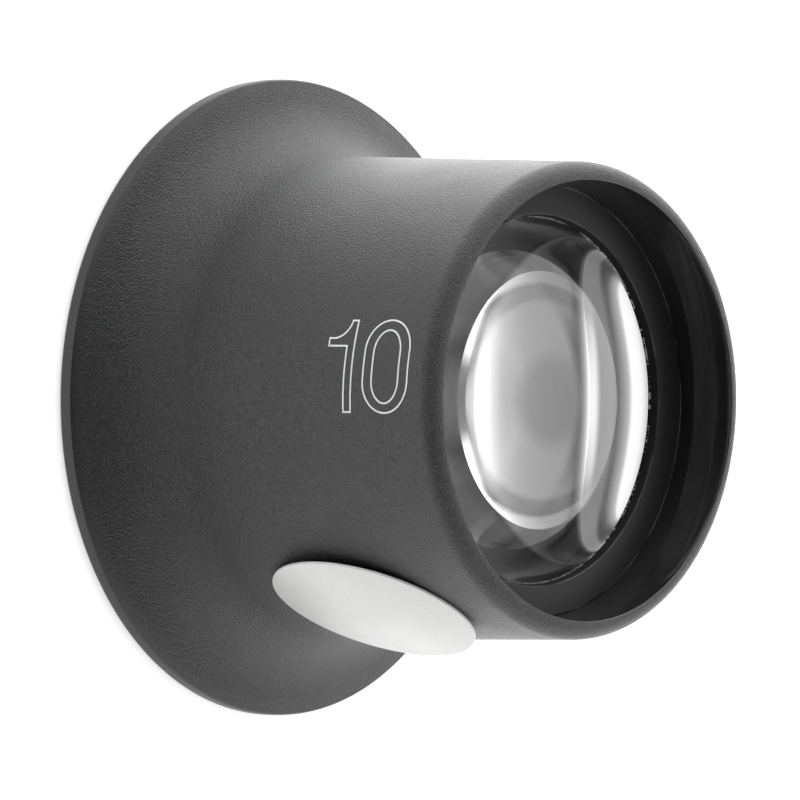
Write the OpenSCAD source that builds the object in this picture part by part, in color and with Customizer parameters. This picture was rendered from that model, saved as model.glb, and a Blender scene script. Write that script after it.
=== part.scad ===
// Watchmaker's eye loupe: a one-piece moulded eyecup, a thick biconvex lens, the ring that holds it in
// and an oval stuck-on label. It stands on its eye face, Z is the optical axis and +Z is the object side.
// Radii are built outwards from the lens: pocket, shoulder, front bore, barrel, flange.

/* [Lens] */
// Lens radius, axis to edge
lens_r = 12.5; // [12:0.1:13]
// Radius of curvature of the object-side face
front_curve = 20.5; // [19.5:0.1:23]
// Radius of curvature of the eye-side face
back_curve = 20.5; // [19.5:0.1:23]
// Thickness of the lens at its edge
lens_edge = 2.3; // [1.9:0.1:2.6]
// Length of the ground chamfers along the lens edge
lens_chamfer = 0.25; // [0.1:0.05:0.4]

/* [Lens seat] */
// Height of the seat above the eye face
seat_h = 17.55; // [17:0.05:17.8]
// Width of the seat under the lens
seat_w = 1; // [0.7:0.05:1.2]
// Depth of the straight land below the seat
seat_land = 0.5; // [0.2:0.1:1.5]

/* [Front bore] */
// Width of the shoulder that carries the retaining ring, round the pocket
shoulder_w = 0.9; // [0.6:0.05:1.2]
// Widening of the bore's radius at the mouth
mouth_flare = 0.21; // [0.1:0.01:0.25]
// Depth of the widened part below the mouth
mouth_lead = 1.2; // [0.8:0.1:1.4]

/* [Barrel] */
// Height of the mouth plane above the eye face
mouth_h = 26.2; // [25.9:0.1:29]
// Thickness of the wall round the front bore
rim_wall = 1.37; // [1.35:0.01:1.8]
// Radius of the rounded mouth rim
rim_round = 1.1; // [0.7:0.05:1.1]
// Growth of the barrel's radius from the mouth rim down to the flare
barrel_taper = 0.32; // [0.1:0.02:0.6]

/* [Flare] */
// Radius of the hollow curve between barrel and flange
flare_r = 5.4; // [4.9:0.1:5.8]
// Steepest slope of the flare, measured from the axis, in degrees
flare_angle = 72; // [66:1:76]
// Thickness of the wall behind the flare
wall = 1.8; // [1.5:0.05:2.1]

/* [Eye flange] */
// How far the flange stands out past the barrel
flange_w = 4.86; // [4.5:0.02:6]
// Height of the straight band round the lip, with its back rounding
lip_h = 0.87; // [0.7:0.01:1.4]
// Rounding of the lip's back edge
lip_back_round = 0.3; // [0.1:0.05:0.4]
// Rounding of the lip's front edge
lip_front_round = 0.2; // [0.1:0.05:0.3]

/* [Retaining ring] */
// How far the ring reaches in over the lens edge
ring_cover = 1.12; // [0.8:0.02:1.4]
// Opening of the ring from its lens side to its front, on the radius
ring_flare = 0.16; // [0:0.02:0.4]
// Thickness of the ring at its inner edge
ring_t = 0.6; // [0.5:0.05:1]
// Extra thickness at the ring's outer edge, which dishes the front face
ring_dish = 0.26; // [0:0.02:0.4]

/* [Label] */
// Long half axis of the oval label
label_a = 6.9; // [5:0.1:7.4]
// Short half axis of the oval label
label_b = 4.9; // [3:0.05:5.5]
// Thickness of the label
label_t = 0.15; // [0.1:0.01:0.3]
// Height of the label's centre above the eye face
label_h = 15.4; // [14.5:0.1:16.5]
// Bearing of the label round the axis, in degrees from +X
label_bearing = -34; // [-180:1:180]
// Turn of the oval's long axis away from the barrel's, in degrees
label_turn = -18; // [-30:1:30]
// Shift of the oval's centre past the line where it touches the barrel
label_shift = 0.9; // [0:0.1:1.5]

/* [Fits] */
// Radial clearance of the lens in its pocket
lens_gap = 0.05; // [0.03:0.01:0.15]
// Radial clearance of the retaining ring in the bore
ring_gap = 0.02; // [0.01:0.01:0.05]
// Clearance between the lens faces and what holds them
seat_gap = 0.01; // [0.01:0.01:0.05]
// Film of adhesive under the label where it touches the barrel
label_gap = 0.05; // [0.03:0.01:0.15]

/* [Hidden] */
$fn = 180;
arc_step = 4;
blank_over = 4;
cut_over = 1;

// Radii from the lens outwards
pocket_r = lens_r + lens_gap;
bore_r = pocket_r + shoulder_w;
mouth_r = bore_r + mouth_flare;
barrel_top_r = bore_r + rim_wall;
barrel_r = barrel_top_r + barrel_taper;
flange_r = barrel_r + flange_w;
seat_r = lens_r - seat_w;
ring_r = lens_r - ring_cover;
ring_outer_r = bore_r - ring_gap;

// The lens rests with its back face on the inner edge of the seat
back_centre = seat_h + seat_gap + sqrt(back_curve * back_curve - seat_r * seat_r);
lens_edge_low = back_centre - sqrt(back_curve * back_curve - lens_r * lens_r);
lens_edge_high = lens_edge_low + lens_edge;
front_centre = lens_edge_high - sqrt(front_curve * front_curve - lens_r * lens_r);

// The ring lies on the pocket's shoulder, with its inner edge just clear of the front face
ring_h = front_centre + sqrt(front_curve * front_curve - ring_r * ring_r) + seat_gap;

// The lip's front arc is tangent to the band and to the sloping front of the flange
lip_arc_x = flange_r - lip_front_round;
lip_front_x = lip_arc_x + lip_front_round * cos(flare_angle);
lip_front_h = lip_h + lip_front_round * sin(flare_angle);
// Centre of the flare's curve, tangent to that slope below and to the barrel above
flare_x = barrel_r + flare_r;
flare_end_x = flare_x - flare_r * cos(flare_angle);
flare_end_h = lip_front_h - (flare_end_x - lip_front_x) / tan(flare_angle);
flare_top = flare_end_h + flare_r * sin(flare_angle);

rim_x = barrel_top_r - rim_round;
rim_h = mouth_h - rim_round;
barrel_draft = atan(barrel_taper / (rim_h - flare_top));

// Behind the flare the wall is even. From there a straight taper, tangent to it, runs up to the seat's land
inner_r = flare_r + wall;
inner_start = asin(min(flare_top / inner_r, 1));
land_h = seat_h - seat_land;
to_land = [flare_x - seat_r, land_h - flare_top];
taper_angle = 90 - atan2(to_land.y, to_land.x) - asin(inner_r / norm(to_land));

// Points of an arc about [x, z], from angle a to angle b
function arc(x, z, r, a, b) =
    let (n = ceil(abs(b - a) / arc_step))
    [for (i = [0 : n]) let (t = a + (b - a) * i / n) [x + r * cos(t), z + r * sin(t)]];

// Outer half section, from the eye face round the lip and up to the mouth
function outside() = concat(
    [[0, 0]],
    arc(flange_r - lip_back_round, lip_back_round, lip_back_round, -90, 0),
    arc(lip_arc_x, lip_h, lip_front_round, 0, flare_angle),
    arc(flare_x, flare_top, flare_r, 180 + flare_angle, 180),
    arc(rim_x, rim_h, rim_round, 0, 90),
    [[0, mouth_h]]);

// Half section of the whole hollow, from the eye face through the seat to the mouth
function hollow() = concat(
    [[0, -cut_over], [flare_x - inner_r * cos(inner_start), -cut_over]],
    arc(flare_x, flare_top, inner_r, 180 + inner_start, 180 + taper_angle),
    [[seat_r, land_h],
     [seat_r, seat_h],
     [pocket_r, seat_h],
     [pocket_r, ring_h],
     [bore_r, ring_h],
     [bore_r, mouth_h - mouth_lead],
     [mouth_r, mouth_h],
     [mouth_r, mouth_h + cut_over],
     [0, mouth_h + cut_over]]);

// The moulded eyecup: flange, flare and barrel in one piece, with the seat and the pocket inside
module eyecup_body() {
    color([0.17, 0.175, 0.18])
    difference() {
        rotate_extrude() polygon(outside());
        rotate_extrude() polygon(hollow());
    }
}

// Half section of the lens blank: a ground cylinder whose two chamfers split the corner at each face
module lens_blank() {
    low_slope = tan(45 + asin(lens_r / back_curve) / 2);
    high_slope = tan(45 + asin(lens_r / front_curve) / 2);
    low = lens_edge_low + lens_chamfer;
    high = lens_edge_high - lens_chamfer;
    rotate_extrude()
        polygon([
            [0, low - blank_over * low_slope],
            [lens_r - blank_over, low - blank_over * low_slope],
            [lens_r, low],
            [lens_r, high],
            [lens_r - blank_over, high + blank_over * high_slope],
            [0, high + blank_over * high_slope]]);
}

// Thick biconvex lens, resting in the pocket
module lens() {
    color([0.8, 0.85, 0.88, 0.5])
    intersection() {
        lens_blank();
        translate([0, 0, back_centre]) sphere(back_curve);
        translate([0, 0, front_centre]) sphere(front_curve);
    }
}

// Pressed-in ring that holds the lens down, with a slightly dished front face
module retaining_ring() {
    color([0.1, 0.1, 0.105])
    rotate_extrude()
        polygon([
            [ring_r, ring_h],
            [ring_outer_r, ring_h],
            [ring_outer_r, ring_h + ring_t + ring_dish],
            [ring_r + ring_flare, ring_h + ring_t]]);
}

// Stiff flat oval, stuck on along one line of the barrel, so its long sides stand clear of the curve
module oval_label() {
    touch_r = barrel_r - (label_h - flare_top) * tan(barrel_draft);
    color([0.86, 0.86, 0.85])
    rotate([0, 0, label_bearing])
        translate([touch_r, 0, label_h])
            rotate([0, 90 - barrel_draft, 0])
                translate([0, label_shift, label_gap])
                    rotate([0, 0, label_turn])
                        linear_extrude(label_t)
                            polygon([for (t = [arc_step : arc_step : 360]) [label_a * cos(t), label_b * sin(t)]]);
}

eyecup_body();
lens();
retaining_ring();
oval_label();
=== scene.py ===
import bpy
import bmesh
from math import asin, atan2, cos, degrees, hypot, pi, radians, sin, tan
from mathutils import Matrix, Vector


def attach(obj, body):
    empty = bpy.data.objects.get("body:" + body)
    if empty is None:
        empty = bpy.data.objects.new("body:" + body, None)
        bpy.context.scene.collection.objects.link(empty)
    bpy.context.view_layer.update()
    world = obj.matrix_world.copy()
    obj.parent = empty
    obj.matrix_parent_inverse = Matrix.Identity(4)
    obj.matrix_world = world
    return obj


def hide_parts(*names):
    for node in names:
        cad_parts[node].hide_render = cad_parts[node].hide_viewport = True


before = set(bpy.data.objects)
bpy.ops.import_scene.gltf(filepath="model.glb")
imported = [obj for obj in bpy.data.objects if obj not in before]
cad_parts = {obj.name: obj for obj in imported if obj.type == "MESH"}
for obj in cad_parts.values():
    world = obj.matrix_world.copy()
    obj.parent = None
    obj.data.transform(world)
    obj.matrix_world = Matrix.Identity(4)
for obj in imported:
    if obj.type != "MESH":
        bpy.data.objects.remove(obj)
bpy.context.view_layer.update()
print("frame loaded:", ", ".join(sorted(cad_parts)))

mm = 0.001
toMm = 1000.0  # for lengths inside the node trees
tiny = 1e-6  # metres; points closer than this are one
scene = bpy.context.scene
scene.view_settings.view_transform = "Standard"


# camera: the photograph's view of the standing loupe, looking down 41 degrees and rolled a quarter turn

view = dict(place=(0.0854, -703.62, 630.49),  # in mm
            ahead=(0.0, 0.75036, -0.66107), right=(-0.01082, 0.66103, 0.75031),
            down=(0.99994, 0.00715, 0.00812),
            focal=675.0, sensor=36.0, clipNear=0.05, clipFar=50.0)

cameraData = bpy.data.cameras.new("photoCamera")
cameraData.lens = view["focal"]
cameraData.sensor_width = view["sensor"]
cameraData.clip_start = view["clipNear"]
cameraData.clip_end = view["clipFar"]
camera = bpy.data.objects.new("photoCamera", cameraData)
turn = Matrix((Vector(view["right"]), -Vector(view["down"]), -Vector(view["ahead"]))).transposed()
camera.matrix_world = Matrix.Translation(Vector(view["place"]) * mm) @ turn.to_4x4()
scene.collection.objects.link(camera)
scene.camera = camera
print("camera set")


# mesh helpers: a profile is drawn in mm on the X-Z plane and spun about Z

def startProfile(x, z):
    bm = bmesh.new()
    bm.verts.new((x * mm, 0, z * mm))
    return bm


def lastVert(bm):
    bm.verts.ensure_lookup_table()
    return bm.verts[-1]


def lineTo(bm, x, z):
    added = bmesh.ops.extrude_vert_indiv(bm, verts=[lastVert(bm)])["verts"][0]
    added.co = (x * mm, 0, z * mm)


# turns the last point about (x, z), counter-clockwise when x is right and z up
def arcAbout(bm, x, z, angle, steps):
    bmesh.ops.spin(bm, geom=[lastVert(bm)], cent=(x * mm, 0, z * mm), axis=(0, -1, 0), dvec=(0, 0, 0),
                   angle=radians(angle), steps=steps, use_merge=False, use_duplicate=False)


def closeProfile(bm):  # joins the two ends, unless they meet already
    bmesh.ops.remove_doubles(bm, verts=bm.verts[:], dist=tiny)
    ends = [v for v in bm.verts if len(v.link_edges) == 1]
    if ends:
        bmesh.ops.contextual_create(bm, geom=ends)


def bevelBy(bm, geom, offset, segments, affect):
    bmesh.ops.bevel(bm, geom=geom, offset=offset * mm, offset_type="OFFSET", segments=segments,
                    profile=0.5, affect=affect, clamp_overlap=True, material=-1)


def roundCorners(bm, corners, offset, segments):  # corners are (x, z) in mm
    picked = [v for v in bm.verts for x, z in corners
              if abs(v.co.x - x * mm) < tiny and abs(v.co.z - z * mm) < tiny]
    bevelBy(bm, picked, offset, segments, "VERTICES")


def spinWhole(bm, steps):
    bmesh.ops.remove_doubles(bm, verts=bm.verts[:], dist=tiny)
    bmesh.ops.spin(bm, geom=bm.verts[:] + bm.edges[:], cent=(0, 0, 0), axis=(0, 0, 1), dvec=(0, 0, 0),
                   angle=2 * pi, steps=steps, use_merge=True, use_duplicate=False)
    bmesh.ops.remove_doubles(bm, verts=bm.verts[:], dist=tiny)
    bmesh.ops.recalc_face_normals(bm, faces=bm.faces[:])


def ovalVerts(bm, halfX, halfY, steps):  # one flat face round the origin
    verts = bmesh.ops.create_circle(bm, cap_ends=True, cap_tris=False, segments=steps, radius=1)["verts"]
    bmesh.ops.scale(bm, vec=(halfX * mm, halfY * mm, 1), verts=verts)
    return verts


def extrudeFaces(bm):  # gives back the new vertices
    made = bmesh.ops.extrude_face_region(bm, geom=bm.faces[:])["geom"]
    return [g for g in made if isinstance(g, bmesh.types.BMVert)]


def finishPiece(bm, name, materials, sharpAngle):
    mesh = bpy.data.meshes.new(name)
    for face in bm.faces:
        face.smooth = True
    bm.to_mesh(mesh)
    bm.free()
    mesh.set_sharp_from_angle(angle=radians(sharpAngle))
    for material in materials:
        mesh.materials.append(material)
    piece = bpy.data.objects.new(name, mesh)
    scene.collection.objects.link(piece)
    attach(piece, "root")
    print("piece", name, len(mesh.polygons), "faces")
    return piece


# material helpers

def newMaterial(name):
    material = bpy.data.materials.new(name)
    material.use_nodes = True
    material.node_tree.nodes.clear()
    return material, material.node_tree


def addNode(tree, kind, at, settings=None, inputs=None):  # an input takes a value or another node's output
    node = tree.nodes.new(kind)
    node.location = at
    for key, value in (settings or {}).items():
        setattr(node, key, value)
    for key, value in (inputs or {}).items():
        if isinstance(value, bpy.types.NodeSocket):
            tree.links.new(value, node.inputs[key])
        else:
            node.inputs[key].default_value = value
    return node


def join(tree, source, target):
    tree.links.new(source, target)


def math(tree, operation, at, a, b=None):
    inputs = {0: a} if b is None else {0: a, 1: b}
    return addNode(tree, "ShaderNodeMath", at, {"operation": operation}, inputs).outputs[0]


def lengthOf(tree, at, x, y):
    squares = math(tree, "ADD", (at[0] + 200, at[1]), math(tree, "MULTIPLY", at, x, x),
                   math(tree, "MULTIPLY", (at[0], at[1] - 160), y, y))
    return math(tree, "SQRT", (at[0] + 400, at[1]), squares)


def noiseOver(tree, at, vector, scale, detail, roughness=0.5):
    inputs = {"Vector": vector, "Scale": scale, "Detail": detail, "Roughness": roughness}
    return addNode(tree, "ShaderNodeTexNoise", at, None, inputs).outputs["Fac"]


def rangeOver(tree, at, value, low, high, toLow=0.0, toHigh=1.0, kind="LINEAR"):
    inputs = {"Value": value, "From Min": low, "From Max": high, "To Min": toLow, "To Max": toHigh}
    return addNode(tree, "ShaderNodeMapRange", at, {"interpolation_type": kind}, inputs).outputs[0]


def mixColours(tree, at, share, low, high):
    return addNode(tree, "ShaderNodeMix", at, {"data_type": "RGBA"}, {0: share, 6: low, 7: high}).outputs[2]


def mixNumbers(tree, at, share, low, high):
    return addNode(tree, "ShaderNodeMix", at, {"data_type": "FLOAT"}, {0: share, 2: low, 3: high}).outputs[0]


def grey(level):
    return (level,) * 3 + (1,)


def scaled(colour, factor):
    return [min(c * factor, 1) for c in colour[:3]] + [1]


# a material with a Principled shader, whose patterns lie on Object coordinates
def newSurface(name, colour, roughness, others=None):
    material, tree = newMaterial(name)
    inputs = {"Base Color": colour, "Roughness": roughness, **(others or {})}
    shader = addNode(tree, "ShaderNodeBsdfPrincipled", (400, 0), None, inputs)
    addNode(tree, "ShaderNodeOutputMaterial", (700, 0), None, {"Surface": shader.outputs[0]})
    coords = addNode(tree, "ShaderNodeTexCoord", (-1100, 0)).outputs["Object"]
    return material, tree, shader.inputs, coords


def newGroup(name, inputs, outputs):  # an input without a default is a vector, every other socket a number
    group = bpy.data.node_groups.new(name, "ShaderNodeTree")
    for label, value in inputs.items():
        kind = "NodeSocketVector" if value is None else "NodeSocketFloat"
        socket = group.interface.new_socket(label, in_out="INPUT", socket_type=kind)
        if value is not None:
            socket.default_value = value
    for label in outputs:
        group.interface.new_socket(label, in_out="OUTPUT", socket_type="NodeSocketFloat")
    given = addNode(group, "NodeGroupInput", (-900, 0)).outputs
    made = addNode(group, "NodeGroupOutput", (700, 0)).inputs
    return group, given, made


def useGroup(tree, group, at, inputs):
    return addNode(tree, "ShaderNodeGroup", at, {"node_tree": group}, inputs).outputs


# fine pebbled grain of a spark-eroded mould: noise broken up by soft cells, and a slow mottle
grain = dict(detail=1.5, roughness=0.55, cellScale=0.75, cellSoftness=0.6, cellDepth=-0.5,
             mottleScale=0.035, mottleDetail=3.0, mottleRoughness=0.6)

mouldGrain, given, made = newGroup("mouldGrain", {"Vector": None, "Pebble": 0.13}, ["Height", "Mottle"])
perMetre = math(mouldGrain, "DIVIDE", (-700, -160), toMm, given["Pebble"])
pebbles = noiseOver(mouldGrain, (-480, 120), given["Vector"], perMetre, grain["detail"], grain["roughness"])
cellScale = math(mouldGrain, "MULTIPLY", (-640, -300), perMetre, grain["cellScale"])
cells = addNode(mouldGrain, "ShaderNodeTexVoronoi", (-480, -160), {"feature": "SMOOTH_F1"},
                {"Vector": given["Vector"], "Scale": cellScale, "Smoothness": grain["cellSoftness"]})
domes = math(mouldGrain, "MULTIPLY", (-260, -160), cells.outputs["Distance"], grain["cellDepth"])
join(mouldGrain, math(mouldGrain, "ADD", (-60, 0), pebbles, domes), made["Height"])
mottleScale = math(mouldGrain, "MULTIPLY", (-640, -460), perMetre, grain["mottleScale"])
mottle = noiseOver(mouldGrain, (-480, -460), given["Vector"], mottleScale, grain["mottleDetail"],
                   grain["mottleRoughness"])
join(mouldGrain, mottle, made["Mottle"])

# distance from the optical axis and height in mm, and bearing round the axis in radians
axisRadius, given, made = newGroup("axisRadius", {"Vector": None}, ["Radius", "Height", "Bearing"])
split = addNode(axisRadius, "ShaderNodeSeparateXYZ", (-700, 0), None, {0: given["Vector"]}).outputs
fromAxis = lengthOf(axisRadius, (-500, 140), split["X"], split["Y"])
join(axisRadius, math(axisRadius, "MULTIPLY", (60, 80), fromAxis, toMm), made["Radius"])
join(axisRadius, math(axisRadius, "MULTIPLY", (60, -80), split["Z"], toMm), made["Height"])
join(axisRadius, math(axisRadius, "ARCTAN2", (60, -240), split["Y"], split["X"]), made["Bearing"])

# small specks of dust, thinly spread: Share of the cells hold one, up to Largest of a cell in size
dustInputs = {"Vector": None, "Scale": 900.0, "Share": 0.06, "Largest": 0.16}
dustSpecks, given, made = newGroup("dustSpecks", dustInputs, ["Mask"])
spots = addNode(dustSpecks, "ShaderNodeTexVoronoi", (-600, 100), None,
                {"Vector": given["Vector"], "Scale": given["Scale"]}).outputs
chance = addNode(dustSpecks, "ShaderNodeSeparateColor", (-400, -80), None, {0: spots["Color"]}).outputs
isKept = math(dustSpecks, "LESS_THAN", (-200, -80), chance[0], given["Share"])
speckSize = math(dustSpecks, "MULTIPLY", (-300, 220), chance[1], given["Largest"])
isInside = math(dustSpecks, "LESS_THAN", (-200, 100), spots["Distance"], speckSize)
join(dustSpecks, math(dustSpecks, "MULTIPLY", (100, 0), isKept, isInside), made["Mask"])

noiseMiddle = (0.3, 0.7)  # the values that most of a noise lies between
print("node groups made")


# eyecup: one moulding, spun from its half section, in mm and degrees

cup = dict(flangeR=20.0, lipH=0.87, lipBack=0.3, lipFront=0.2, flareSlope=72.0, flareR=5.4, wall=1.8,
           barrelR=15.14, barrelTopR=14.82, rimRound=1.1, mouthH=26.2, mouthR=13.66, mouthLead=1.2,
           boreR=13.45, shoulderH=21.396, pocketR=12.55, seatR=11.5, seatH=17.55, seatLand=0.5, edge=0.06,
           steps=288, lipSteps=8, flareSteps=24, rimSteps=14, edgeSteps=3, sharp=28,
           # a face that lies this far inside the mouth, or is turned inwards this much, is polished
           boreMargin=0.02, boreSlope=0.02,
           ior=1.5, roughness=0.4, roughnessSwing=0.025, pebble=0.095, grainDepth=0.085,
           # the hollows' darker colour is painted shade in the grain's pits
           hollow=(0.0046, 0.0048, 0.0052, 1), crest=(0.0185, 0.019, 0.02, 1), crestFrom=0.5,
           lipFade=(0.95, 1.35), lipGrain=0.12,  # the grain fades out over these heights, down to the lip
           gloss=(0.015, 0.015, 0.016, 1), glossRoughness=0.09,
           speck=(0.16, 0.16, 0.16, 1), speckScale=1400.0, speckShare=0.035)


def makeGrainedPlastic():
    material, tree, shader, coords = newSurface("grainedPlastic", cup["crest"], cup["roughness"],
                                                {"IOR": cup["ior"]})
    grained = useGroup(tree, mouldGrain, (-500, -200), {"Vector": coords, "Pebble": cup["pebble"]})
    place = useGroup(tree, axisRadius, (-700, -420), {"Vector": coords})
    fade = rangeOver(tree, (-400, -420), place["Height"], *cup["lipFade"], toLow=cup["lipGrain"],
                     kind="SMOOTHSTEP")
    bump = addNode(tree, "ShaderNodeBump", (100, -300), None,
                   {"Height": grained["Height"], "Strength": fade, "Distance": cup["grainDepth"] * mm})
    join(tree, bump.outputs[0], shader["Normal"])
    # darker in the grain's hollows than on its crests: painted shade in the pits of the real grain
    hollowShade = rangeOver(tree, (-100, 300), grained["Height"], 0.0, cup["crestFrom"])
    colour = mixColours(tree, (100, 260), hollowShade, cup["hollow"], cup["crest"])
    join(tree, colour, shader["Base Color"])
    rough = rangeOver(tree, (-200, 100), grained["Mottle"], *noiseMiddle,
                      cup["roughness"] - cup["roughnessSwing"], cup["roughness"] + cup["roughnessSwing"])
    join(tree, rough, shader["Roughness"])
    return material


def makePolishedBore():
    material, tree, shader, coords = newSurface("polishedBore", cup["gloss"], cup["glossRoughness"],
                                                {"IOR": cup["ior"]})
    dust = useGroup(tree, dustSpecks, (-500, 0),
                    {"Vector": coords, "Scale": cup["speckScale"], "Share": cup["speckShare"]})
    colour = mixColours(tree, (-100, 100), dust["Mask"], cup["gloss"], cup["speck"])
    join(tree, colour, shader["Base Color"])
    return material


grainedPlastic = makeGrainedPlastic()
polishedBore = makePolishedBore()

# the flare is tangent to the sloping front of the flange below and to the barrel above
slope = radians(cup["flareSlope"])
lipX = cup["flangeR"] - cup["lipFront"]
lipBackX = cup["flangeR"] - cup["lipBack"]
flareX = cup["barrelR"] + cup["flareR"]
flareEndX = flareX - cup["flareR"] * cos(slope)
flareEndH = (cup["lipH"] + cup["lipFront"] * sin(slope)
             - (flareEndX - lipX - cup["lipFront"] * cos(slope)) / tan(slope))
flareTop = flareEndH + cup["flareR"] * sin(slope)

# the wall behind it is even, and a taper tangent to it runs up to the land under the lens seat
innerR = cup["flareR"] + cup["wall"]
landH = cup["seatH"] - cup["seatLand"]
toLand = (flareX - cup["seatR"], landH - flareTop)
taper = 90 - degrees(atan2(toLand[1], toLand[0]) + asin(innerR / hypot(*toLand)))
innerStart = degrees(asin(flareTop / innerR))
rimX = cup["barrelTopR"] - cup["rimRound"]
rimH = cup["mouthH"] - cup["rimRound"]

bm = startProfile(flareX - innerR * cos(radians(innerStart)), 0)
lineTo(bm, lipBackX, 0)
arcAbout(bm, lipBackX, cup["lipBack"], 90, cup["lipSteps"])
lineTo(bm, cup["flangeR"], cup["lipH"])
arcAbout(bm, lipX, cup["lipH"], cup["flareSlope"], cup["lipSteps"])
lineTo(bm, flareEndX, flareEndH)
arcAbout(bm, flareX, flareTop, -cup["flareSlope"], cup["flareSteps"])
lineTo(bm, cup["barrelTopR"], rimH)
arcAbout(bm, rimX, rimH, 90, cup["rimSteps"])
lineTo(bm, cup["mouthR"], cup["mouthH"])
lineTo(bm, cup["boreR"], cup["mouthH"] - cup["mouthLead"])
lineTo(bm, cup["boreR"], cup["shoulderH"])
lineTo(bm, cup["pocketR"], cup["shoulderH"])
lineTo(bm, cup["pocketR"], cup["seatH"])
lineTo(bm, cup["seatR"], cup["seatH"])
lineTo(bm, cup["seatR"], landH)
lineTo(bm, flareX - innerR * cos(radians(taper)), flareTop - innerR * sin(radians(taper)))
arcAbout(bm, flareX, flareTop, innerStart - taper, cup["flareSteps"])
closeProfile(bm)
roundCorners(bm, [(cup["mouthR"], cup["mouthH"])], cup["edge"], cup["edgeSteps"])
spinWhole(bm, cup["steps"])
for face in bm.faces:
    middle = face.calc_center_median()
    outward = face.normal.x * middle.x + face.normal.y * middle.y
    inMouth = hypot(middle.x, middle.y) < (cup["mouthR"] - cup["boreMargin"]) * mm
    if inMouth or outward < -cup["boreSlope"] * middle.length:
        face.material_index = 1
eyecup = finishPiece(bm, "moulded_eyecup", [grainedPlastic, polishedBore], cup["sharp"])
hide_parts("eyecup_body")


# lens: thick biconvex glass with a ground edge

glass = dict(radius=12.5, curve=20.5, frontCentre=4.334, backCentre=34.531, chamferIn=0.198, edgeLow=18.533,
             edgeHigh=20.333, steps=288, faceSteps=48, sharp=15, ior=1.52, tint=(1, 1, 1, 1),
             speckTint=(0.7, 0.7, 0.7, 1), speckRoughness=0.5, speckScale=620.0, speckShare=0.05,
             # the ground edge's dark grey tint is painted shade from the dark pocket round it
             groundShadeLow=(0.25, 0.26, 0.26, 1), groundShadeHigh=(0.37, 0.38, 0.38, 1), groundRoughness=0.45,
             frostScale=2600.0, frostDetail=3.0,
             edgeMargin=0.01)  # a face that lies this far outside the polished ones is ground


def makePolishedGlass():
    material, tree, shader, coords = newSurface("polishedGlass", glass["tint"], 0.0,
                                                {"IOR": glass["ior"], "Transmission Weight": 1.0})
    dust = useGroup(tree, dustSpecks, (-600, 0),
                    {"Vector": coords, "Scale": glass["speckScale"], "Share": glass["speckShare"]})
    colour = mixColours(tree, (0, 200), dust["Mask"], glass["tint"], glass["speckTint"])
    join(tree, colour, shader["Base Color"])
    rough = math(tree, "MULTIPLY", (0, -100), dust["Mask"], glass["speckRoughness"])
    join(tree, rough, shader["Roughness"])
    return material


# frosted ground edge, tinted dark grey as painted shade from the dark pocket round it
def makeGroundGlass():
    material, tree, shader, coords = newSurface("groundGlassEdge", glass["groundShadeLow"],
                                                glass["groundRoughness"],
                                                {"IOR": glass["ior"], "Transmission Weight": 1.0})
    frost = noiseOver(tree, (-600, 0), coords, glass["frostScale"], glass["frostDetail"])
    colour = mixColours(tree, (0, 100), frost, glass["groundShadeLow"], glass["groundShadeHigh"])
    join(tree, colour, shader["Base Color"])
    return material


clearGlass = makePolishedGlass()
groundGlass = makeGroundGlass()
chamferR = glass["radius"] - glass["chamferIn"]
half = degrees(asin(chamferR / glass["curve"]))
bm = startProfile(0, glass["backCentre"] - glass["curve"])
arcAbout(bm, 0, glass["backCentre"], half, glass["faceSteps"])
lineTo(bm, glass["radius"], glass["edgeLow"])
lineTo(bm, glass["radius"], glass["edgeHigh"])
lineTo(bm, chamferR, glass["frontCentre"] + glass["curve"] * cos(radians(half)))
arcAbout(bm, 0, glass["frontCentre"], half, glass["faceSteps"])
spinWhole(bm, glass["steps"])
for face in bm.faces:
    middle = face.calc_center_median()
    if hypot(middle.x, middle.y) > (chamferR + glass["edgeMargin"]) * mm:
        face.material_index = 1
lens = finishPiece(bm, "biconvex_lens", [clearGlass, groundGlass], glass["sharp"])
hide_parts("lens")


# retaining ring: thin turned ring with a dished front

ring = dict(innerLow=11.38, innerHigh=11.54, outer=13.43, low=21.396, highIn=21.996, highOut=22.256,
            edge=0.05, edgeSteps=3, steps=288, sharp=28, ior=1.5, specular=0.2,
            black=(0.018, 0.018, 0.0185, 1), roughness=0.45,
            markDepth=0.003, marksPerMm=11.0, marksRound=1.2, markDetail=3.0, markRoughness=0.7,
            # wear and a painted highlight reach in by this many edge widths outside, and have this share of
            # their strength inside
            wornAndGleaming=(0.3, 0.3, 0.3, 1), outerWearAndGleam=1.2, innerWearAndGleam=0.25,
            rubAndGleamScale=420.0, rubAndGleamDetail=2.0, rubAndGleamRange=(0.35, 0.6),
            # painted glints of light along the ring's lowest edge, where it meets the glass
            seatGlint=(0.85, 0.86, 0.88, 1), glintFleckScale=5500.0, glintRunScale=330.0, seatGlintDetail=2.0, seatGlintOver=1.03,
            seatGlintHeight=0.07)


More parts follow.
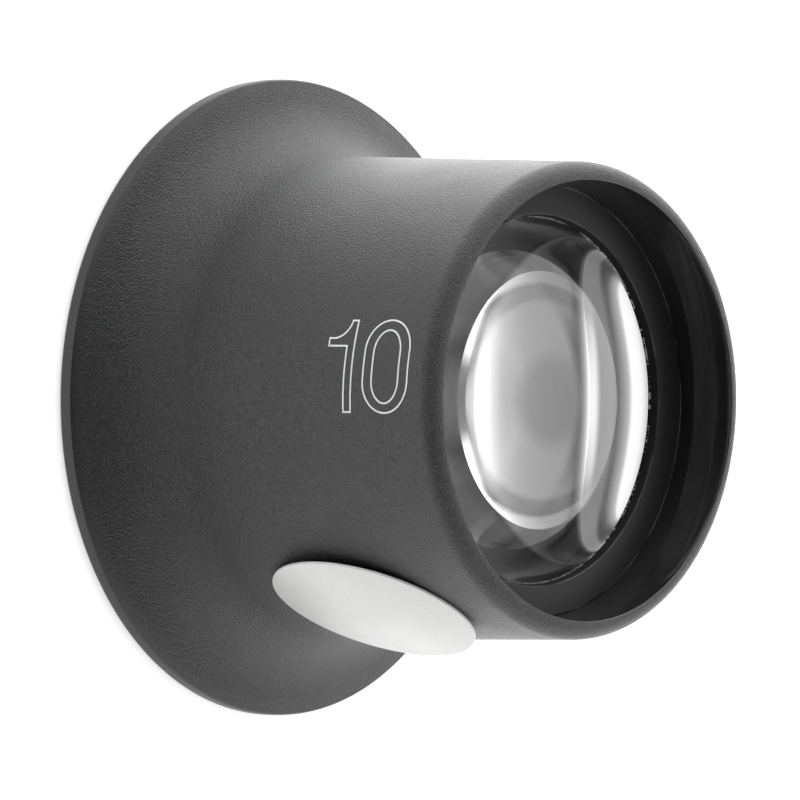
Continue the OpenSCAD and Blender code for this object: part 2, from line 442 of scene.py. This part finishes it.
def makeRingMaterial():
    material, tree, shader, coords = newSurface("turnedBlack", ring["black"], ring["roughness"],
                                                {"IOR": ring["ior"], "Specular IOR Level": ring["specular"]})
    place = useGroup(tree, axisRadius, (-900, -200), {"Vector": coords})
    radius, height = place["Radius"], place["Height"]

    # turning marks: noise that changes fast over the radius and slowly round the ring
    where = addNode(tree, "ShaderNodeCombineXYZ", (-600, -200), None,
                    {"X": math(tree, "MULTIPLY", (-760, -100), radius, ring["marksPerMm"]),
                     "Y": math(tree, "MULTIPLY", (-760, -260), place["Bearing"], ring["marksRound"])})
    marks = noiseOver(tree, (-400, -200), where.outputs[0], 1.0, ring["markDetail"], ring["markRoughness"])
    bump = addNode(tree, "ShaderNodeBump", (100, -300), None,
                   {"Height": marks, "Distance": ring["markDepth"] * mm})
    join(tree, bump.outputs[0], shader["Normal"])

    # wear and a painted highlight along the outer edge, and a little on the inner lip
    cloudy = noiseOver(tree, (-600, 500), coords, ring["rubAndGleamScale"], ring["rubAndGleamDetail"])
    rubsAndGleams = rangeOver(tree, (-400, 500), cloudy, *ring["rubAndGleamRange"])
    outer = math(tree, "GREATER_THAN", (-400, 300), radius, ring["outer"] - ring["edge"] * ring["outerWearAndGleam"])
    lip = math(tree, "LESS_THAN", (-400, 140), radius, ring["innerHigh"] + ring["edge"])
    high = math(tree, "GREATER_THAN", (-600, 140), height, ring["highIn"] - ring["edge"])
    lip = math(tree, "MULTIPLY", (-300, 140), lip, ring["innerWearAndGleam"])
    edges = math(tree, "MAXIMUM", (0, 300), outer, math(tree, "MULTIPLY", (-200, 140), lip, high))
    rubbedAndGleaming = math(tree, "MULTIPLY", (0, 460), edges, rubsAndGleams)
    wornAndGleaming = mixColours(tree, (150, 200), rubbedAndGleaming, ring["black"], ring["wornAndGleaming"])

    # painted glints: bright light caught along the glass, at the ring's lowest edge
    glintFlecks = noiseOver(tree, (-600, 800), coords, ring["glintFleckScale"], ring["seatGlintDetail"])
    glintRuns = noiseOver(tree, (-600, 1000), coords, ring["glintRunScale"], ring["seatGlintDetail"])
    both = math(tree, "ADD", (-500, 900), glintFlecks, glintRuns)
    few = math(tree, "GREATER_THAN", (-400, 800), both, ring["seatGlintOver"])
    lowest = math(tree, "LESS_THAN", (-400, 960), height, ring["low"] + ring["seatGlintHeight"])
    seatGlints = math(tree, "MULTIPLY", (-200, 860), few, lowest)
    colour = mixColours(tree, (300, 400), seatGlints, wornAndGleaming, ring["seatGlint"])
    join(tree, colour, shader["Base Color"])
    return material


turnedBlack = makeRingMaterial()
bm = startProfile(ring["innerLow"], ring["low"])
lineTo(bm, ring["outer"], ring["low"])
lineTo(bm, ring["outer"], ring["highOut"])
lineTo(bm, ring["innerHigh"], ring["highIn"])
closeProfile(bm)
roundCorners(bm, [(ring["outer"], ring["highOut"]), (ring["innerHigh"], ring["highIn"])], ring["edge"],
             ring["edgeSteps"])
spinWhole(bm, ring["steps"])
holdingRing = finishPiece(bm, "turned_ring", [turnedBlack], ring["sharp"])
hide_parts("retaining_ring")


# oval label: stiff satin foil, stuck on along one line of the barrel

label = dict(longHalf=6.9, shortHalf=4.9, thick=0.15, height=15.4, bearing=-34.0, turn=-18.0, shift=0.9,
             touchR=14.987, draft=0.987, gap=0.05,  # the barrel's radius and slope there, and the film on it
             edge=0.03, edgeSteps=2, steps=128, sharp=40,
             flat=0.9,  # a face whose normal rises or falls by more than this is foil or backing
             foil=(0.6, 0.6, 0.595, 1), metallic=0.25, roughness=0.36, smoother=0.05, rougher=0.06,
             cloudScale=260.0, cloudDetail=3.0, fineScale=5200.0, fineDetail=1.0, fineSwing=0.07,
             rim=(0.8, 0.8, 0.79, 1), rimRoughness=0.4,
             # the underside is near black: painted shade that deepens the dark arch on the barrel above the
             # label
             shadeBacking=(0.025, 0.025, 0.025, 1), shadeBackingRoughness=0.7)

plain = dict(scale=1800.0, detail=2.0, swing=0.15)


def makeSatinFoil():
    material, tree, shader, coords = newSurface("satinFoil", label["foil"], label["roughness"],
                                                {"Metallic": label["metallic"]})
    clouds = noiseOver(tree, (-600, 0), coords, label["cloudScale"], label["cloudDetail"])
    rough = rangeOver(tree, (-300, 0), clouds, *noiseMiddle, label["roughness"] - label["smoother"],
                      label["roughness"] + label["rougher"])
    join(tree, rough, shader["Roughness"])
    fine = noiseOver(tree, (-600, 300), coords, label["fineScale"], label["fineDetail"])
    colour = mixColours(tree, (-100, 300), fine, scaled(label["foil"], 1 - label["fineSwing"]),
                        scaled(label["foil"], 1 + label["fineSwing"]))
    join(tree, colour, shader["Base Color"])
    return material


def makePlain(name, colour, roughness):  # one colour with a slight unevenness
    material, tree, shader, coords = newSurface(name, colour, roughness)
    clouds = noiseOver(tree, (-600, 0), coords, plain["scale"], plain["detail"])
    uneven = mixColours(tree, (100, 100), clouds, scaled(colour, 1 - plain["swing"]),
                        scaled(colour, 1 + plain["swing"]))
    join(tree, uneven, shader["Base Color"])
    return material


satinFoil = makeSatinFoil()
cutRim = makePlain("cutLabelRim", label["rim"], label["rimRoughness"])
# the label's underside, painted dark as shade
shadedLabelBacking = makePlain("shadedLabelBacking", label["shadeBacking"], label["shadeBackingRoughness"])
bm = bmesh.new()
ovalVerts(bm, label["longHalf"], label["shortHalf"], label["steps"])
upper = extrudeFaces(bm)
bmesh.ops.translate(bm, vec=(0, 0, label["thick"] * mm), verts=upper)
bmesh.ops.recalc_face_normals(bm, faces=bm.faces[:])
rimEdges = [e for e in bm.edges if all(v in upper for v in e.verts)]
bevelBy(bm, rimEdges, label["edge"], label["edgeSteps"], "EDGES")
bm.normal_update()
for face in bm.faces:
    if face.normal.z < -label["flat"]:
        face.material_index = 2
    elif face.normal.z < label["flat"]:
        face.material_index = 1
onBarrel = (Matrix.Rotation(radians(label["bearing"]), 4, "Z")
            @ Matrix.Translation((label["touchR"] * mm, 0, label["height"] * mm))
            @ Matrix.Rotation(radians(90 - label["draft"]), 4, "Y")
            @ Matrix.Translation((0, label["shift"] * mm, label["gap"] * mm))
            @ Matrix.Rotation(radians(label["turn"]), 4, "Z"))
bmesh.ops.transform(bm, matrix=onBarrel, verts=bm.verts[:])
labelMaterials = [satinFoil, cutRim, shadedLabelBacking]
ovalLabel = finishPiece(bm, "oval_foil_label", labelMaterials, label["sharp"])
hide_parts("oval_label")


# printed number: outlined digits in pale ink, drawn flat in mm and wrapped onto the barrel

number = dict(stroke=0.11, inkLow=0.004, inkHigh=0.014,  # the ink's two faces stand off the barrel by these
              wrapR=15.0, bearing=-90.0,  # the drawing's y runs round the axis at wrapR, from this bearing
              low=-1.0, high=5.0, cut=0.35,  # the range of y, and the width of the bands it is cut into
              ink=(0.86, 0.87, 0.89, 1), roughness=0.5, sharp=40,
              one=[(17.55, 3.19), (19.02, 3.19), (19.02, -0.92), (19.71, -0.92), (19.71, 4.93),
                   (19.16, 4.93), (18.93, 3.78), (17.55, 3.78)],
              noseCorner=6, noseRound=1.0, noseSteps=10,
              # each oval: middle x and y, half its width and height, half of the straight part of its sides
              zero=(22.38, 2.012, 1.84, 2.0, 0.97), zeroInner=(22.36, 1.99, 1.12, 1.5, 0.85), zeroSteps=64)


def strokeOf(bm, face):
    bmesh.ops.inset_region(bm, faces=[face], thickness=number["stroke"] * mm, use_even_offset=True,
                           use_boundary=True)
    bmesh.ops.delete(bm, geom=[face], context="FACES_ONLY")


def longOval(bm, x, y, halfX, halfY, straight):
    verts = ovalVerts(bm, halfX, halfY, number["zeroSteps"])
    for v in verts:
        v.co.y += straight * mm if v.co.y > 0 else -straight * mm
    bmesh.ops.translate(bm, vec=(x * mm, y * mm, 0), verts=verts)
    return verts[0].link_faces[0]


def barrelRadius(z):
    share = (z - flareTop) / (rimH - flareTop)
    return cup["barrelR"] + (cup["barrelTopR"] - cup["barrelR"]) * share


ink = makePlain("paleInk", number["ink"], number["roughness"])
bm = bmesh.new()
corners = [bm.verts.new((x * mm, y * mm, 0)) for x, y in number["one"]]
bm.faces.new(corners)
bevelBy(bm, [corners[number["noseCorner"]]], number["noseRound"], number["noseSteps"], "VERTICES")
strokeOf(bm, bm.faces[:][0])
strokeOf(bm, longOval(bm, *number["zero"]))
strokeOf(bm, longOval(bm, *number["zeroInner"]))
y = number["low"]
while y < number["high"]:  # cut into narrow bands, so the strokes bend with the barrel
    bmesh.ops.bisect_plane(bm, geom=bm.verts[:] + bm.edges[:] + bm.faces[:], dist=1e-7,
                           plane_co=(0, y * mm, 0), plane_no=(0, 1, 0))
    y += number["cut"]
for v in extrudeFaces(bm):
    v.co.z = 1  # marks the ink's outer face until it is wrapped
for v in bm.verts:
    height = v.co.x / mm
    bearing = radians(number["bearing"]) - v.co.y / mm / number["wrapR"]
    r = barrelRadius(height) + (number["inkHigh"] if v.co.z > 0.5 else number["inkLow"])
    v.co = (r * cos(bearing) * mm, r * sin(bearing) * mm, height * mm)
bmesh.ops.recalc_face_normals(bm, faces=bm.faces[:])
finishPiece(bm, "printed_number", [ink], number["sharp"])


# studio: pale floor, which glows with painted light and shade for mirrors and glass, bright low walls all
# round and a broad soft box above the far side
# each list holds (place, strength) stops with straight lines between them: a Rise goes over the sine of
# the elevation, a Round from -1 near the camera to 1 on the far side, Rings over mm from the axis

studio = dict(floorHalf=4.0, floorGap=0.02, floorGrey=0.8, lift=0.55, cameraWhite=1.0,
              wallRise=[(0.0, 1.0), (0.40, 1.0), (0.46, 0.0), (1.0, 0.0)],
              wallRound=[(-1.0, 0.8), (-0.64, 0.8), (-0.34, 4.0), (0.7, 4.0), (0.9, 2.0), (1.0, 2.0)],
              gapRise=[(0.0, 0.0), (0.40, 0.0), (0.46, 1.0), (0.58, 1.0), (0.64, 0.0), (1.0, 0.0)],
              gapRound=[(-1.0, 0.2), (-0.5, 0.4), (0.3, 0.3), (0.6, 0.1), (0.78, 1.9), (0.91, 1.9),
                        (0.97, 0.2), (1.0, 0.1)],
              boxRise=[(0.0, 0.0), (0.58, 0.0), (0.64, 1.0), (0.90, 1.0), (0.96, 0.03), (1.0, 0.03)],
              boxRound=[(-1.0, 0.0), (-0.85, 0.0), (-0.3, 2.2), (0.6, 2.4), (0.9, 3.2), (1.0, 3.2)],
              lean=0.3,  # how much brighter the light is from the number's left than from its right
              # painted shade and light on the floor round the loupe, seen by mirrors and glass: darker close
              # to it, and brighter on some sides
              floorShadeRings=[(0.0, 0.05), (14.4, 0.035), (14.8, 0.09), (17.6, 0.09), (18.5, 0.5), (21.0, 0.6),
                          (26.0, 1.0), (42.0, 0.85), (60.0, 0.85)],
              floorLightRound=[(-1.0, 2.45), (-0.85, 2.2), (-0.6, 1.75), (-0.1, 2.55), (0.3, 3.05), (1.0, 2.9)],
              floorLightLean=[(-1.0, 0.0), (-0.6, 0.0), (-0.1, 0.3), (1.0, 0.3)],
              # painted shade on the floor inside the cup, away from the far side
              cupShadeRings=[(0.0, 0.17), (16.5, 0.17), (17.6, 0.0), (20.0, 0.0)],
              cupShadeRound=[(-1.0, 1.0), (0.7, 1.0), (0.88, 0.0), (1.0, 0.0)],
              # painted streak of bright light on the paper at the inside of the cup's far wall
              paintedStreakHalf=1.2,
              paintedStreakRings=[(0.0, 0.0), (15.5, 0.0), (15.8, 0.8), (17.4, 0.8), (17.6, 0.0), (20.0, 0.0)],
              # what is seen straight through the glass: the lit middle and a narrower lit patch beyond it
              litRings=[(0.0, 3.2), (4.0, 3.2), (6.5, 1.0), (8.0, 1.0), (10.0, 0.0), (20.0, 0.0)],
              edgeAcross=1.5,
              edgeRings=[(0.0, 0.0), (8.0, 0.0), (10.0, 1.0), (11.5, 1.25), (13.0, 1.2), (13.4, 0.52),
                         (13.9, 0.28), (14.4, 0.06), (15.0, 0.0), (17.0, 0.0), (20.0, 0.0)],
              edgeRound=[(-1.0, 0.0), (0.4, 0.0), (0.8, 0.7), (0.93, 1.0), (1.0, 1.0)],
              # what is mirrored in the bore: light that the lens gathers on the paper
              spotAcross=1.3, spotPinch=0.1, spotPinchFrom=3.0,  # it narrows towards the far side
              spotRings=[(0.0, 25.0), (3.0, 25.0), (4.9, 16.5), (6.9, 8.9), (8.3, 6.3), (9.3, 4.3),
                         (10.3, 3.05), (11.1, 2.15), (12.2, 1.3), (13.6, 0.45), (14.0, 0.0), (20.0, 0.0)],
              spotNear=[(-12.0, 0.0), (-6.5, 0.0), (-3.0, 1.0), (12.0, 1.0)],  # over mm towards the far side
              glossHalf=1.6,
              glossRings=[(0.0, 0.0), (13.4, 0.0), (14.3, 0.9), (15.3, 1.4), (17.4, 1.4), (17.6, 0.0),
                          (20.0, 0.0)])


def rampOver(tree, at, value, name):
    stops = studio[name]
    low, high = stops[0][0], stops[-1][0]
    most = max(strength for place, strength in stops)
    ramp = addNode(tree, "ShaderNodeValToRGB", at, None,
                   {0: rangeOver(tree, (at[0] - 200, at[1]), value, low, high)})
    elements = ramp.color_ramp.elements
    elements[0].color = grey(stops[0][1] / most)
    elements[1].color = grey(stops[-1][1] / most)
    for place, strength in stops[1:-1]:
        elements.new((place - low) / (high - low)).color = grey(strength / most)
    return math(tree, "MULTIPLY", (at[0] + 260, at[1]), ramp.outputs[0], most)


def farShare(tree, at, x, y):  # cosine of the bearing from the far side: 1 far, 0 beside, -1 near the camera
    length = math(tree, "MAXIMUM", (at[0] + 600, at[1]), lengthOf(tree, at, x, y), tiny)
    return math(tree, "DIVIDE", (at[0] + 800, at[1]), y, length)


def bellOver(tree, at, value, half):  # bell curve round zero, with half as its scale
    share = math(tree, "DIVIDE", at, value, half)
    square = math(tree, "MULTIPLY", (at[0] + 200, at[1]), share, share)
    fall = math(tree, "MULTIPLY", (at[0] + 400, at[1]), square, -1.0)
    return math(tree, "EXPONENT", (at[0] + 600, at[1]), fall)


# the floor is plain paper to the camera and soft light; to mirrors and glass it glows with painted light and
# shade
floorMaterial, tree = newMaterial("paleFloor")
path = addNode(tree, "ShaderNodeLightPath", (-600, 300)).outputs
inGlass = path["Is Transmission Ray"]
coords = addNode(tree, "ShaderNodeTexCoord", (-1900, -200)).outputs["Object"]
radius = useGroup(tree, axisRadius, (-1600, -400), {"Vector": coords})["Radius"]
split = addNode(tree, "ShaderNodeSeparateXYZ", (-1600, -100), None, {0: coords}).outputs
around = farShare(tree, (-1900, -760), split["X"], split["Y"])
sideBy = math(tree, "MULTIPLY", (-1300, -240), split["X"], toMm)
farBy = math(tree, "MULTIPLY", (-1300, 100), split["Y"], toMm)

# what the camera and soft light see: plain paper, a little lifted
paper = addNode(tree, "ShaderNodeBsdfDiffuse", (200, 200), None, {"Color": grey(studio["floorGrey"])})
lifted = math(tree, "MULTIPLY", (0, 60), path["Is Camera Ray"], studio["lift"])
lift = addNode(tree, "ShaderNodeEmission", (200, 60), None, {"Strength": lifted})
lit = addNode(tree, "ShaderNodeAddShader", (400, 160), None, {0: paper.outputs[0], 1: lift.outputs[0]})

# what mirrors and glass see outside the patch under the lens: painted shade round and inside the cup, and a
# painted streak of light
paintedStreak = math(tree, "MULTIPLY", (-100, -240), bellOver(tree, (-1100, -240), sideBy, studio["paintedStreakHalf"]),
              rampOver(tree, (-500, -340), radius, "paintedStreakRings"))
sideways = math(tree, "DIVIDE", (-900, -900), sideBy, math(tree, "MAXIMUM", (-1100, -900), radius, 1.0))
leanBy = math(tree, "MULTIPLY", (-700, -900), sideways, rampOver(tree, (-1100, -1100), around, "floorLightLean"))
leaning = math(tree, "SUBTRACT", (-500, -900), 1.0, leanBy)
allRound = math(tree, "MULTIPLY", (-300, -740), leaning,
                rampOver(tree, (-700, -740), around, "floorLightRound"))
floorShade = math(tree, "MULTIPLY", (-100, -480), rampOver(tree, (-700, -480), radius, "floorShadeRings"), allRound)
cupShade = math(tree, "MULTIPLY", (-100, -700), rampOver(tree, (-700, -1780), radius, "cupShadeRings"),
             rampOver(tree, (-700, -2040), around, "cupShadeRound"))
outside = math(tree, "ADD", (200, -300), math(tree, "ADD", (100, -300), paintedStreak, floorShade), cupShade)

# what is seen through the glass
edgeX = math(tree, "MULTIPLY", (-1500, -1000), sideBy, studio["edgeAcross"])
farEdge = math(tree, "MULTIPLY", (-100, -1000),
               rampOver(tree, (-700, -1000), lengthOf(tree, (-1300, -1000), edgeX, farBy), "edgeRings"),
               rampOver(tree, (-700, -1260), around, "edgeRound"))
through = math(tree, "ADD", (200, -1000), farEdge, rampOver(tree, (-700, -1520), radius, "litRings"))

# what is mirrored in the bore
pastStart = math(tree, "SUBTRACT", (-1700, 400), farBy, studio["spotPinchFrom"])
pinch = math(tree, "MULTIPLY", (-1400, 400), math(tree, "MAXIMUM", (-1500, 400), pastStart, 0.0),
             studio["spotPinch"])
across = math(tree, "MULTIPLY", (-1300, 260), sideBy,
              math(tree, "ADD", (-1300, 400), pinch, studio["spotAcross"]))
spot = math(tree, "MULTIPLY", (200, 60),
            rampOver(tree, (-400, 220), lengthOf(tree, (-1100, 260), across, farBy), "spotRings"),
            rampOver(tree, (-400, 420), farBy, "spotNear"))
glint = math(tree, "MULTIPLY", (0, -140), bellOver(tree, (-1100, -140), sideBy, studio["glossHalf"]),
             rampOver(tree, (-500, -140), radius, "glossRings"))
gathered = mixNumbers(tree, (400, -300), inGlass, math(tree, "ADD", (300, 0), spot, glint), through)
strength = math(tree, "ADD", (600, -200), outside, gathered)
staged = addNode(tree, "ShaderNodeEmission", (800, -200), None, {"Strength": strength})

mirrored = math(tree, "MAXIMUM", (0, 300), path["Is Glossy Ray"], inGlass)
either = addNode(tree, "ShaderNodeMixShader", (1000, 0), None,
                 {0: mirrored, 1: lit.outputs[0], 2: staged.outputs[0]})
addNode(tree, "ShaderNodeOutputMaterial", (1200, 0), None, {"Surface": either.outputs[0]})
floorMaterial.cycles.emission_sampling = "NONE"

bm = bmesh.new()
bmesh.ops.create_grid(bm, x_segments=1, y_segments=1, size=studio["floorHalf"])
bmesh.ops.translate(bm, vec=(0, 0, -studio["floorGap"] * mm), verts=bm.verts[:])  # just clear of the loupe
floorMesh = bpy.data.meshes.new("floor")
bm.to_mesh(floorMesh)
bm.free()
floorMesh.materials.append(floorMaterial)
floor = bpy.data.objects.new("floor", floorMesh)
scene.collection.objects.link(floor)

world = bpy.data.worlds.new("studioWorld")
scene.world = world
world.use_nodes = True
tree = world.node_tree
tree.nodes.clear()
path = addNode(tree, "ShaderNodeLightPath", (200, 300)).outputs
coords = addNode(tree, "ShaderNodeTexCoord", (-1900, 0)).outputs["Generated"]
split = addNode(tree, "ShaderNodeSeparateXYZ", (-1700, 0), None, {0: coords}).outputs
around = farShare(tree, (-1500, -200), split["X"], split["Y"])
bands = []
for row, name in enumerate(("wall", "gap", "box")):
    high = 300 - 400 * row
    bands.append(math(tree, "MULTIPLY", (0, high), rampOver(tree, (-500, high), split["Z"], name + "Rise"),
                      rampOver(tree, (-500, high - 200), around, name + "Round")))
light = math(tree, "ADD", (200, 0), math(tree, "ADD", (100, 100), bands[0], bands[1]), bands[2])
leanBy = math(tree, "MULTIPLY", (0, 500), split["X"], studio["lean"])
leaning = math(tree, "SUBTRACT", (200, 500), 1.0, leanBy)
light = math(tree, "MULTIPLY", (400, 0), light, leaning)
seen = mixNumbers(tree, (600, 0), path["Is Camera Ray"], light, studio["cameraWhite"])
sky = addNode(tree, "ShaderNodeBackground", (800, 0), None, {"Strength": seen})
addNode(tree, "ShaderNodeOutputWorld", (1000, 0), None, {"Surface": sky.outputs[0]})
print("studio set")
